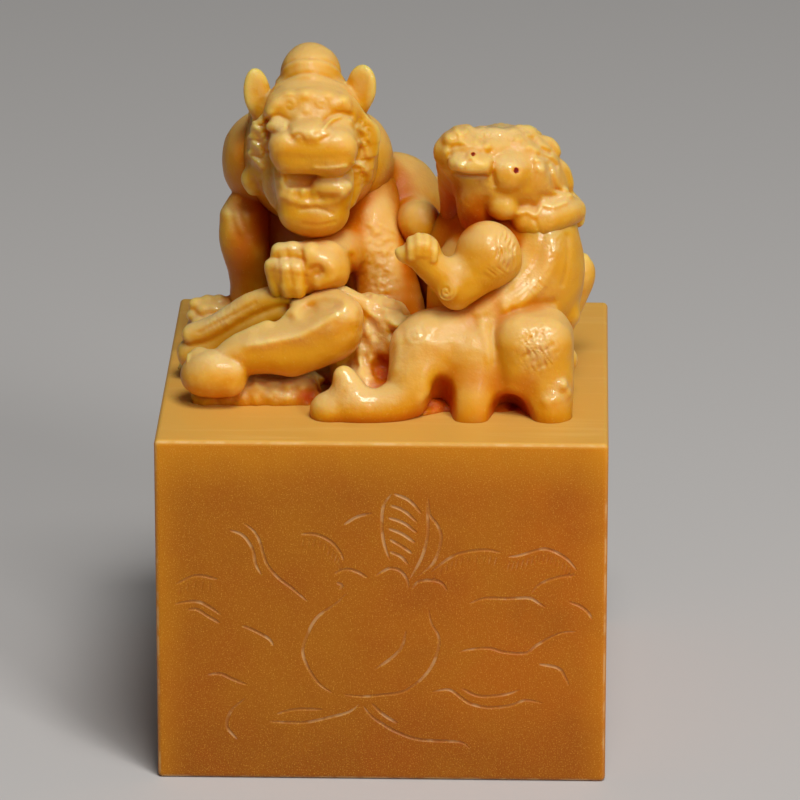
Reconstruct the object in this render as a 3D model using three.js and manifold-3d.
// Carved seal: a square stone block, its top carved as a guardian lion, its cub and a ribbon on rocky ground.
// The real seal is one stone. Here each carved mass is a solid of its own, parted by a thin seam.
// Millimetres, +Z up, origin at the centre of the printing face under the block. The front is towards -Y.
// Left and right are as seen from the front.

import * as THREE from "three";
import { mergeVertices } from "three/addons/utils/BufferGeometryUtils.js";
import Module from "manifold-3d";

const wasm = await Module();
wasm.setup();

// Block
const BLOCK_SIDE = 55;
const BLOCK_HEIGHT = 44;
const BLOCK_EDGE = 0.6;

// Seam left between two carved masses
const SEAM = 0.3;

// Rounded forms are faceted: about this long a facet, with at least so many round a form
const FACET = 3.2;
const LEAST_FACETS = 6;
const LIMB_END_FACETS = 2;

// Rocky ground. Its outline lies inside the block's edge by these amounts, at even turns from the right side.
const GROUND = { height: 2.2, slope: 1.4 };
const GROUND_INSETS = [4, 6, 8, 6.5, 8, 5.5, 2.6, 3.5, 12, 13, 13, 5.2];
const GROUND_POINTS_PER_INSET = 2;

// Places on the carving are measured from the centre of the block's top
const ROCK = { x: -0.4, y: -7.6, z: 3.4, width: 11, depth: 9, height: 16, lean: 0.12 };

// Lion: body
const LION_CHEST = { x: -8.5, y: 7.5, z: 13, width: 19, depth: 17, height: 28 };
const LION_BACK = { x: -3.5, y: 11, z: 12, width: 17, depth: 15, height: 25, lean: 0.25 };
const LION_HAUNCH = { x: 0.4, y: 12, z: 16.5, width: 13.5, depth: 14, height: 17.5 };
const LION_RUMP = { x: 7.5, y: 12.5, z: 8, width: 12, depth: 15, height: 16 };
const LION_KNEE = { x: 3.9, y: 1, z: 19.2, thick: 5.2, hipThick: 7.5 };
const LION_HIND_PAW = { x: 10.5, y: 4.5, z: 2.2, width: 9, depth: 6.5, height: 6 };
const LION_TAIL = [
  { x: 9, y: 19.5, z: 4, thick: 4.4 },
  { x: 12.5, y: 18.5, z: 10, thick: 4.2 },
  { x: 10, y: 18, z: 16, thick: 3.6 },
  { x: 4.5, y: 18.5, z: 18.5, thick: 2.6 },
];

// Lion: shoulders and forelegs
const LION_SHOULDER = { leftX: -16.2, rightX: -4.3, y: 8, z: 24, width: 9.6, depth: 12, height: 13.5 };
const LION_LEFT_FORELEG = [
  { x: -17.1, y: 6.2, z: 16, thick: 7.8 },
  { x: -17.2, y: 5.6, z: 6, thick: 5 },
];
const LION_LEFT_PAW = { x: -21.9, y: 8, z: 3.8, width: 7.6, depth: 7.6, height: 6.4 };
const LION_RIGHT_UPPER_FORELEG = [
  { x: -2.2, y: 2.6, z: 21, thick: 8.4 },
  { x: 0.4, y: -2.2, z: 6, thick: 9.4 },
];
const LION_RIGHT_ELBOW = { x: -3, y: -0.6, z: 14.2, thick: 6.4 };
const LION_RIGHT_PAW = { x: -9.8, y: -8.2, z: 15.8, width: 9, depth: 7.4, height: 6.8, wristThick: 6 };
const TOE = { thick: 2.5, clawThick: 1.8, drop: 3.6, ahead: 1.3, knuckleRise: 1.1, tuckBack: 1.2 };
const TOES = 4;

// Lion: head, set on the top of the chest and measured from the middle of its skull
const LION_HEAD = { left: 1.1, ahead: 6, rise: 4 };
const LION_SKULL = { width: 11.8, depth: 12.4, height: 12.6 };
const LION_FOREHEAD = { width: 10.4, depth: 10.4, height: 6.2, rise: 4.2 };
const LION_MANE = { width: 17, depth: 11, height: 19, back: 3, drop: 4.6 };
const LION_MUZZLE = { width: 7.6, depth: 8.6, height: 6.6, apart: 3.4, drop: 1.3 };
const LION_NOSE = { width: 4.8, depth: 3.4, height: 3, overlap: 0.6 };
const LION_JAW = { width: 6.4, depth: 9.2, height: 7, apart: 3, drop: 8.6, ahead: 4.6 };
const LION_TOPKNOT = { width: 7.6, depth: 8.4, height: 7.6, back: 2.3, sink: 3.9 };
const LION_TOPKNOT_ROLL = { width: 8.8, depth: 9.2, height: 4, rise: 6.6 };
const LION_BROW = { width: 5.6, depth: 4, height: 4.4, apart: 5, rise: 3.4 };
const LION_EAR = { width: 3.7, depth: 2.6, height: 7.2, back: 2, rise: 3.4, lean: 0.12, outset: 0.4 };
const LION_CHEEK = { width: 4.6, depth: 5, height: 9, ahead: 1.6, drop: 4, outset: 0.4 };

// Cub: body
const CUB_SPINE = [
  { x: 6.2, y: -12.4, z: 7.2, thick: 8.4 },
  { x: 13, y: -10.6, z: 9, thick: 10 },
  { x: 17.8, y: -6.6, z: 12.6, thick: 10.2 },
  { x: 18.2, y: -3.4, z: 18.6, thick: 10 },
];
const CUB_HIPS = { width: 10.6, depth: 10, height: 9.8 };
const CUB_FLANK = { x: 19.7, y: -3.6, z: 13.2, width: 8.6, depth: 13, height: 15.6 };
const CUB_HAUNCH = { x: 17.9, y: -14.4, z: 7, width: 11, depth: 9.6, height: 12 };
const CUB_RIGHT_LEG = [
  { x: 19.4, y: -15.4, z: 5, thick: 6.6 },
  { x: 20.5, y: -17.4, z: 1.6, thick: 4.8 },
];
const CUB_MIDDLE_LEG = [
  { x: 11.6, y: -14, z: 6, thick: 6.8 },
  { x: 10.4, y: -17.8, z: 1.6, thick: 5 },
];
const CUB_LEFT_LEG = [
  { x: 4.6, y: -15.2, z: 4.4, thick: 6.8 },
  { x: -0.6, y: -18.8, z: 2.4, thick: 5.2 },
  { x: -5, y: -19.4, z: 2.1, thick: 5 },
];
const CUB_LEFT_TOE = { left: 1.2, back: 1.6, rise: 2.8, thick: 3.4 };
const CUB_TAIL = [
  { x: 19.5, y: 3.6, z: 4, thick: 4.2 },
  { x: 22.8, y: 4.2, z: 9, thick: 3.8 },
  { x: 24.3, y: 4.6, z: 13, thick: 2.4 },
];

// Cub: raised foreleg
const CUB_SHOULDER = { x: 13.3, y: -11.2, z: 19.4, thick: 6.8 };
const CUB_ELBOW = { x: 8.6, y: -13.8, z: 15.6, thick: 5.2 };
const CUB_WRIST = { x: 4.8, y: -13.8, z: 18.7, thick: 4 };
const CUB_PAW = { left: 1.4, rise: 1.5, width: 4.8, depth: 4.4, height: 4 };

// Cub: head, set on the top of the spine, turned to the lion and tipped up
const CUB_HEAD = { left: 4.6, ahead: 0.2, rise: 8.4, turn: -0.62, tip: 0.3 };
const CUB_SKULL = { width: 12.4, depth: 12.2, height: 11.8 };
const CUB_MANE = { width: 14.2, depth: 11, height: 14.2, side: 1.4, back: 2.7, drop: 1 };
const CUB_MUZZLE = { width: 6.4, depth: 5.4, height: 4.4, rise: 1.6 };
const CUB_JAW = { width: 6, depth: 6.4, height: 5, drop: 3.4, ahead: 4.8 };
const CUB_BROW = { width: 5.8, depth: 5, height: 5.4, apart: 8, rise: 0.6 };
const CUB_EAR = { thick: 4, lobeThick: 3.4, ahead: 1, drop: 4.8, sweepBack: 5, sweepUp: 2.6 };

// Ribbon: a thick scroll at the front left, and the strand behind it
const RIBBON_CURL = { x: -7.6, y: -12.4, z: 9, width: 9.8, depth: 8, height: 10.2 };
const RIBBON_KNOB = { x: -20.7, y: -13.8, z: 4.4, width: 8, depth: 6.8, height: 6 };
const RIBBON_BEND = { x: -14.5, y: -13.4, z: 7 };
const RIBBON_BAND = { knobThick: 6.6, bendThick: 6.6, curlThick: 8 };
const RIBBON_STRAND = [
  { x: -22.6, y: -3, z: 3.4, thick: 4.8 },
  { x: -18.5, y: -4.6, z: 6, thick: 4.6 },
  { x: -13, y: -6.4, z: 9.4, thick: 4 },
];

// Rounded forms. Each is a function of how much the form is grown on every side.

// How many facets go round a form of this width and depth: an even number.
function facetsRound(width, depth) {
  const girth = (Math.PI * (width + depth)) / 2;
  return 2 * Math.round(Math.max(LEAST_FACETS, girth / FACET) / 2);
}

// An ellipsoid of the given width, depth and height.
function ball({ x, y, z }, { width, depth, height }, turn = [0, 0, 0]) {
  const around = facetsRound(width, depth);
  const over = Math.max(LEAST_FACETS, facetsRound(height, height)) / 2 + 1;
  return (grow) =>
    new THREE.SphereGeometry(1, around, over)
      .rotateX(Math.PI / 2)
      .scale(width / 2 + grow, depth / 2 + grow, height / 2 + grow)
      .applyMatrix4(new THREE.Matrix4().makeRotationFromEuler(new THREE.Euler(...turn)))
      .translate(x, y, z);
}

// Two ellipsoids side by side.
function pair({ x, y, z }, size) {
  return [-1, 1].map((sign) => ball({ x: x + (sign * size.apart) / 2, y, z }, size));
}

// The outline of a limb of two ball ends and the cone that touches both, from one pole to the other.
function limbProfile(startRadius, endRadius, length) {
  const slope = Math.asin(THREE.MathUtils.clamp((startRadius - endRadius) / length, -1, 1));
  const profile = [];
  const addArc = (radius, centre, from, to) => {
    for (let i = 0; i <= LIMB_END_FACETS; i++) {
      const angle = THREE.MathUtils.lerp(from, to, i / LIMB_END_FACETS);
      profile.push(new THREE.Vector2(radius * Math.cos(angle), centre + radius * Math.sin(angle)));
    }
  };
  addArc(startRadius, 0, -Math.PI / 2, slope);
  addArc(endRadius, length, slope, Math.PI / 2);
  profile[0].x = 0;
  profile[profile.length - 1].x = 0;
  return profile;
}

// One tapered link of a limb between two places, each with its thickness.
function link(start, end) {
  const from = new THREE.Vector3(start.x, start.y, start.z);
  const along = new THREE.Vector3(end.x, end.y, end.z).sub(from);
  const latheAxis = new THREE.Vector3(0, 1, 0);
  const turn = new THREE.Quaternion().setFromUnitVectors(latheAxis, along.clone().normalize());
  const place = new THREE.Matrix4().compose(from, turn, new THREE.Vector3(1, 1, 1));
  return (grow) => {
    const profile = limbProfile(start.thick / 2 + grow, end.thick / 2 + grow, along.length());
    return new THREE.LatheGeometry(profile, facetsRound(start.thick, end.thick)).applyMatrix4(place);
  };
}

// A bent limb, one link between each two places.
function limb(places) {
  return places.slice(1).map((end, i) => link(places[i], end));
}

// A low slab with sloping sides over a closed, rounded outline.
function mound(outline, { height, slope }) {
  const curve = new THREE.CatmullRomCurve3(outline, true);
  const points = curve.getPoints(outline.length * GROUND_POINTS_PER_INSET).slice(0, -1);
  const shape = new THREE.Shape(points.map(({ x, y }) => new THREE.Vector2(x, y)));
  return (grow) =>
    new THREE.ExtrudeGeometry(shape, {
      depth: height - slope + grow,
      bevelThickness: slope,
      bevelSize: slope,
      bevelOffset: grow - slope,
      bevelSegments: 1,
    });
}

// Toes side by side across the front of a paw, each from its knuckle down to its claw.
function toes({ x, y, z, width, depth }) {
  const spacing = (width - TOE.thick) / (TOES - 1);
  return Array.from({ length: TOES }, (_, i) => {
    const fromMiddle = i - (TOES - 1) / 2;
    const knuckle = {
      x: x + fromMiddle * spacing,
      y: y - depth / 2 + Math.abs(fromMiddle) * TOE.tuckBack,
      z: z + TOE.knuckleRise,
      thick: TOE.thick,
    };
    const claw = { x: knuckle.x, y: knuckle.y - TOE.ahead, z: knuckle.z - TOE.drop, thick: TOE.clawThick };
    return link(knuckle, claw);
  });
}

// Solids

// A closed three.js geometry as a solid, with its shared corners merged.
function solidOf(geometry) {
  const bare = geometry.clone();
  bare.deleteAttribute("normal");
  bare.deleteAttribute("uv");
  const merged = mergeVertices(bare, 1e-5);
  const corners = merged.index.array;
  const kept = [];
  for (let i = 0; i < corners.length; i += 3) {
    const [a, b, c] = corners.slice(i, i + 3);
    if (a !== b && b !== c && c !== a) kept.push(a, b, c);
  }
  return new wasm.Manifold(
    new wasm.Mesh({
      numProp: 3,
      vertProperties: merged.attributes.position.array,
      triVerts: new Uint32Array(kept),
    }),
  );
}

// Forms joined into one solid in the part's frame.
function joined(forms, grow, place) {
  return forms
    .map((form) => solidOf(form(grow).applyMatrix4(place)))
    .reduce((whole, piece) => whole.add(piece));
}

// The largest body of a solid, without the slivers that a cut can leave beside it.
function largestBody(solid) {
  return solid.decompose().reduce((best, body) => (body.volume() > best.volume() ? body : best));
}

// A solid's surface as a three.js geometry.
function geometryOf(solid) {
  const { vertProperties, triVerts } = solid.getMesh();
  const geometry = new THREE.BufferGeometry();
  geometry.setAttribute("position", new THREE.BufferAttribute(vertProperties, 3));
  geometry.setIndex(new THREE.BufferAttribute(triVerts, 1));
  geometry.computeVertexNormals();
  return geometry;
}

// Finishes of the one stone: sanded on the block, waxed and polished on the figures, rough on the ground
const sandedStone = () => new THREE.MeshStandardMaterial({ color: 0xc9821c, roughness: 0.55, metalness: 0 });
const polishedStone = () => new THREE.MeshStandardMaterial({ color: 0xdd9a2c, roughness: 0.2, metalness: 0 });
const roughStone = () => new THREE.MeshStandardMaterial({ color: 0xb8742a, roughness: 0.6, metalness: 0 });

// Scene graph: the carving stands on the block, and each head has a group of its own
const seal = new THREE.Group();
const carving = new THREE.Group();
const lionHead = new THREE.Group();
const cubHead = new THREE.Group();
const cubNeck = CUB_SPINE[CUB_SPINE.length - 1];
const chestTop = LION_CHEST.z + LION_CHEST.height / 2;
carving.position.z = BLOCK_HEIGHT;
lionHead.position.set(
  LION_CHEST.x - LION_HEAD.left,
  LION_CHEST.y - LION_HEAD.ahead,
  chestTop + LION_HEAD.rise,
);
cubHead.position.set(
  cubNeck.x - CUB_HEAD.left,
  cubNeck.y - CUB_HEAD.ahead,
  cubNeck.z + CUB_HEAD.rise,
);
cubHead.rotation.set(-CUB_HEAD.tip, 0, CUB_HEAD.turn, "ZYX");
seal.add(carving);
carving.add(lionHead, cubHead);
seal.updateMatrixWorld(true);

// Everything below the block's top, which flattens the foot of each mass that stands on it
const blockZone = solidOf(
  new THREE.BoxGeometry(2 * BLOCK_SIDE, 2 * BLOCK_SIDE, BLOCK_HEIGHT).translate(0, 0, BLOCK_HEIGHT / 2),
);

const carvedZones = [];

// Carves one mass: joins its forms, cuts it off at the block and at what was carved before, adds its mesh.
function carve(group, name, finish, forms) {
  const place = group.matrixWorld;
  const whole = joined(forms, 0, place).subtract(blockZone);
  const cut = carvedZones.reduce((rest, zone) => rest.subtract(zone), whole);
  const geometry = geometryOf(largestBody(cut)).applyMatrix4(place.clone().invert());
  const mesh = new THREE.Mesh(geometry, finish());
  mesh.name = name;
  group.add(mesh);
  carvedZones.push(joined(forms, SEAM, place));
}

// Block
function addBlock() {
  const half = BLOCK_SIDE / 2 - BLOCK_EDGE;
  const outline = new THREE.Shape([
    new THREE.Vector2(-half, -half),
    new THREE.Vector2(half, -half),
    new THREE.Vector2(half, half),
    new THREE.Vector2(-half, half),
  ]);
  const geometry = new THREE.ExtrudeGeometry(outline, {
    depth: BLOCK_HEIGHT - 2 * BLOCK_EDGE,
    bevelThickness: BLOCK_EDGE,
    bevelSize: BLOCK_EDGE,
    bevelSegments: 1,
  });
  const block = new THREE.Mesh(geometry, sandedStone());
  block.name = "seal_block";
  block.position.z = BLOCK_EDGE;
  seal.add(block);
}

// Ground and rock
function carveGround() {
  const outline = GROUND_INSETS.map((inset, i) => {
    const turn = (2 * Math.PI * i) / GROUND_INSETS.length;
    const towards = new THREE.Vector3(Math.cos(turn), Math.sin(turn), 0);
    const square = Math.max(Math.abs(towards.x), Math.abs(towards.y));
    return towards.multiplyScalar((BLOCK_SIDE / 2 - inset) / square);
  });
  carve(carving, "rocky_ground", roughStone, [mound(outline, GROUND)]);
  carve(carving, "centre_rock", roughStone, [ball(ROCK, ROCK, [ROCK.lean, 0, 0])]);
}

// Lion: body and hind leg
function carveLionBody() {
  const hip = { ...LION_HAUNCH, thick: LION_KNEE.hipThick };
  carve(carving, "lion_chest", polishedStone, [ball(LION_CHEST, LION_CHEST)]);
  carve(carving, "lion_haunch", polishedStone, [ball(LION_HAUNCH, LION_HAUNCH)]);
  carve(carving, "lion_back", polishedStone, [ball(LION_BACK, LION_BACK, [0, LION_BACK.lean, 0])]);
  carve(carving, "lion_rump", polishedStone, [ball(LION_RUMP, LION_RUMP)]);
  carve(carving, "lion_knee", polishedStone, [link(LION_KNEE, hip)]);
  carve(carving, "lion_hind_paw", polishedStone, [ball(LION_HIND_PAW, LION_HIND_PAW)]);
  carve(carving, "lion_tail", polishedStone, limb(LION_TAIL));
}

// Lion: both shoulders
function carveLionShoulders() {
  const { leftX, rightX, y, z } = LION_SHOULDER;
  for (const [side, x] of Object.entries({ left: leftX, right: rightX })) {
    carve(carving, `lion_${side}_shoulder`, polishedStone, [ball({ x, y, z }, LION_SHOULDER)]);
  }
}

// Lion: the foreleg on the left stands on the ground, the one on the right lays its paw on the ribbon
function carveLionForelegs() {
  const wrist = { ...LION_RIGHT_PAW, thick: LION_RIGHT_PAW.wristThick };
  carve(carving, "lion_left_foreleg", polishedStone, limb(LION_LEFT_FORELEG));
  carve(carving, "lion_right_upper_foreleg", polishedStone, limb(LION_RIGHT_UPPER_FORELEG));
  carve(carving, "lion_right_forearm", polishedStone, [link(LION_RIGHT_ELBOW, wrist)]);
  for (const [side, paw] of Object.entries({ left: LION_LEFT_PAW, right: LION_RIGHT_PAW })) {
    carve(carving, `lion_${side}_paw`, polishedStone, [ball(paw, paw), ...toes(paw)]);
  }
}

// Lion: head, from the skull outwards
function carveLionHead() {
  const faceY = -LION_SKULL.depth / 2;
  const sideX = LION_SKULL.width / 2;
  const skullTop = LION_SKULL.height / 2;
  const muzzle = { x: 0, y: faceY, z: -LION_MUZZLE.drop };
  const jaw = { x: 0, y: -LION_JAW.ahead, z: -LION_JAW.drop };
  const nose = {
    x: 0,
    y: faceY - LION_MUZZLE.depth / 2 + LION_NOSE.depth / 2,
    z: muzzle.z + LION_MUZZLE.height / 2 - LION_NOSE.overlap,
  };
  const topknot = {
    x: 0,
    y: LION_TOPKNOT.back,
    z: skullTop + LION_TOPKNOT.height / 2 - LION_TOPKNOT.sink,
  };
  carve(lionHead, "lion_skull", polishedStone, [
    ball({ x: 0, y: 0, z: 0 }, LION_SKULL),
    ball({ x: 0, y: 0, z: LION_FOREHEAD.rise }, LION_FOREHEAD),
  ]);
  carve(lionHead, "lion_mane", polishedStone, [
    ball({ x: 0, y: LION_MANE.back, z: -LION_MANE.drop }, LION_MANE),
  ]);
  carve(lionHead, "lion_muzzle", polishedStone, pair(muzzle, LION_MUZZLE));
  carve(lionHead, "lion_nose", polishedStone, [ball(nose, LION_NOSE)]);
  carve(lionHead, "lion_lower_jaw", polishedStone, pair(jaw, LION_JAW));
  carve(lionHead, "lion_topknot", polishedStone, [
    ball(topknot, LION_TOPKNOT),
    ball({ ...topknot, z: LION_TOPKNOT_ROLL.rise }, LION_TOPKNOT_ROLL),
  ]);
  for (const [side, sign] of Object.entries({ left: -1, right: 1 })) {
    const brow = { x: (sign * LION_BROW.apart) / 2, y: faceY + LION_BROW.depth / 2, z: LION_BROW.rise };
    const ear = { x: sign * (sideX + LION_EAR.outset), y: LION_EAR.back, z: LION_EAR.rise };
    const cheek = { x: sign * (sideX + LION_CHEEK.outset), y: -LION_CHEEK.ahead, z: -LION_CHEEK.drop };
    carve(lionHead, `lion_${side}_brow`, polishedStone, [ball(brow, LION_BROW)]);
    carve(lionHead, `lion_${side}_ear`, polishedStone, [ball(ear, LION_EAR, [0, sign * LION_EAR.lean, 0])]);
    carve(lionHead, `lion_${side}_cheek`, polishedStone, [ball(cheek, LION_CHEEK)]);
  }
}

// Cub: body, legs and tail
function carveCubBody() {
  const [hips] = CUB_SPINE;
  const foot = CUB_LEFT_LEG[CUB_LEFT_LEG.length - 1];
  const { left, back, rise, thick } = CUB_LEFT_TOE;
  const toe = { x: foot.x - left, y: foot.y + back, z: foot.z + rise, thick };
  carve(carving, "cub_spine", polishedStone, limb(CUB_SPINE));
  carve(carving, "cub_hips", polishedStone, [ball(hips, CUB_HIPS)]);
  carve(carving, "cub_flank", polishedStone, [ball(CUB_FLANK, CUB_FLANK)]);
  carve(carving, "cub_haunch", polishedStone, [ball(CUB_HAUNCH, CUB_HAUNCH)]);
  carve(carving, "cub_right_leg", polishedStone, limb(CUB_RIGHT_LEG));
  carve(carving, "cub_middle_leg", polishedStone, limb(CUB_MIDDLE_LEG));
  carve(carving, "cub_left_leg", polishedStone, [...limb(CUB_LEFT_LEG), link({ ...foot, thick }, toe)]);
  carve(carving, "cub_tail", polishedStone, limb(CUB_TAIL));
}

// Cub: head, from the skull outwards
function carveCubHead() {
  const faceY = -CUB_SKULL.depth / 2;
  const sideX = CUB_SKULL.width / 2;
  carve(cubHead, "cub_skull", polishedStone, [ball({ x: 0, y: 0, z: 0 }, CUB_SKULL)]);
  carve(cubHead, "cub_mane", polishedStone, [
    ball({ x: CUB_MANE.side, y: CUB_MANE.back, z: -CUB_MANE.drop }, CUB_MANE),
  ]);
  carve(cubHead, "cub_muzzle", polishedStone, [ball({ x: 0, y: faceY, z: CUB_MUZZLE.rise }, CUB_MUZZLE)]);
  carve(cubHead, "cub_lower_jaw", polishedStone, [
    ball({ x: 0, y: -CUB_JAW.ahead, z: -CUB_JAW.drop }, CUB_JAW),
  ]);
  for (const [side, sign] of Object.entries({ left: -1, right: 1 })) {
    const brow = { x: (sign * CUB_BROW.apart) / 2, y: faceY + CUB_BROW.depth / 2, z: CUB_BROW.rise };
    const earRoot = { x: sign * sideX, y: -CUB_EAR.ahead, z: -CUB_EAR.drop, thick: CUB_EAR.thick };
    const earTip = {
      x: earRoot.x,
      y: earRoot.y + CUB_EAR.sweepBack,
      z: earRoot.z + CUB_EAR.sweepUp,
      thick: CUB_EAR.lobeThick,
    };
    carve(cubHead, `cub_${side}_brow`, polishedStone, [ball(brow, CUB_BROW)]);
    carve(cubHead, `cub_${side}_ear`, polishedStone, [link(earRoot, earTip)]);
  }
}

// Cub: the foreleg that reaches up to the lion
function carveCubForeleg() {
  const breast = { ...CUB_SPINE[2], thick: CUB_SHOULDER.thick };
  const paw = { x: CUB_WRIST.x - CUB_PAW.left, y: CUB_WRIST.y, z: CUB_WRIST.z + CUB_PAW.rise };
  carve(carving, "cub_shoulder", polishedStone, [link(CUB_SHOULDER, breast)]);
  carve(carving, "cub_foreleg", polishedStone, limb([CUB_SHOULDER, CUB_ELBOW, CUB_WRIST]));
  carve(carving, "cub_paw", polishedStone, [ball(paw, CUB_PAW)]);
}

// Ribbon
function carveRibbon() {
  const { knobThick, bendThick, curlThick } = RIBBON_BAND;
  carve(carving, "ribbon_curl", polishedStone, [ball(RIBBON_CURL, RIBBON_CURL)]);
  carve(carving, "ribbon_knob", polishedStone, [ball(RIBBON_KNOB, RIBBON_KNOB)]);
  carve(carving, "ribbon_band", polishedStone, limb([
    { ...RIBBON_KNOB, thick: knobThick },
    { ...RIBBON_BEND, thick: bendThick },
    { ...RIBBON_CURL, thick: curlThick },
  ]));
  carve(carving, "ribbon_strand", polishedStone, limb(RIBBON_STRAND));
}

addBlock();
carveGround();
carveLionBody();
carveLionShoulders();
carveLionHead();
carveLionForelegs();
carveCubBody();
carveCubHead();
carveCubForeleg();
carveRibbon();

export default seal;
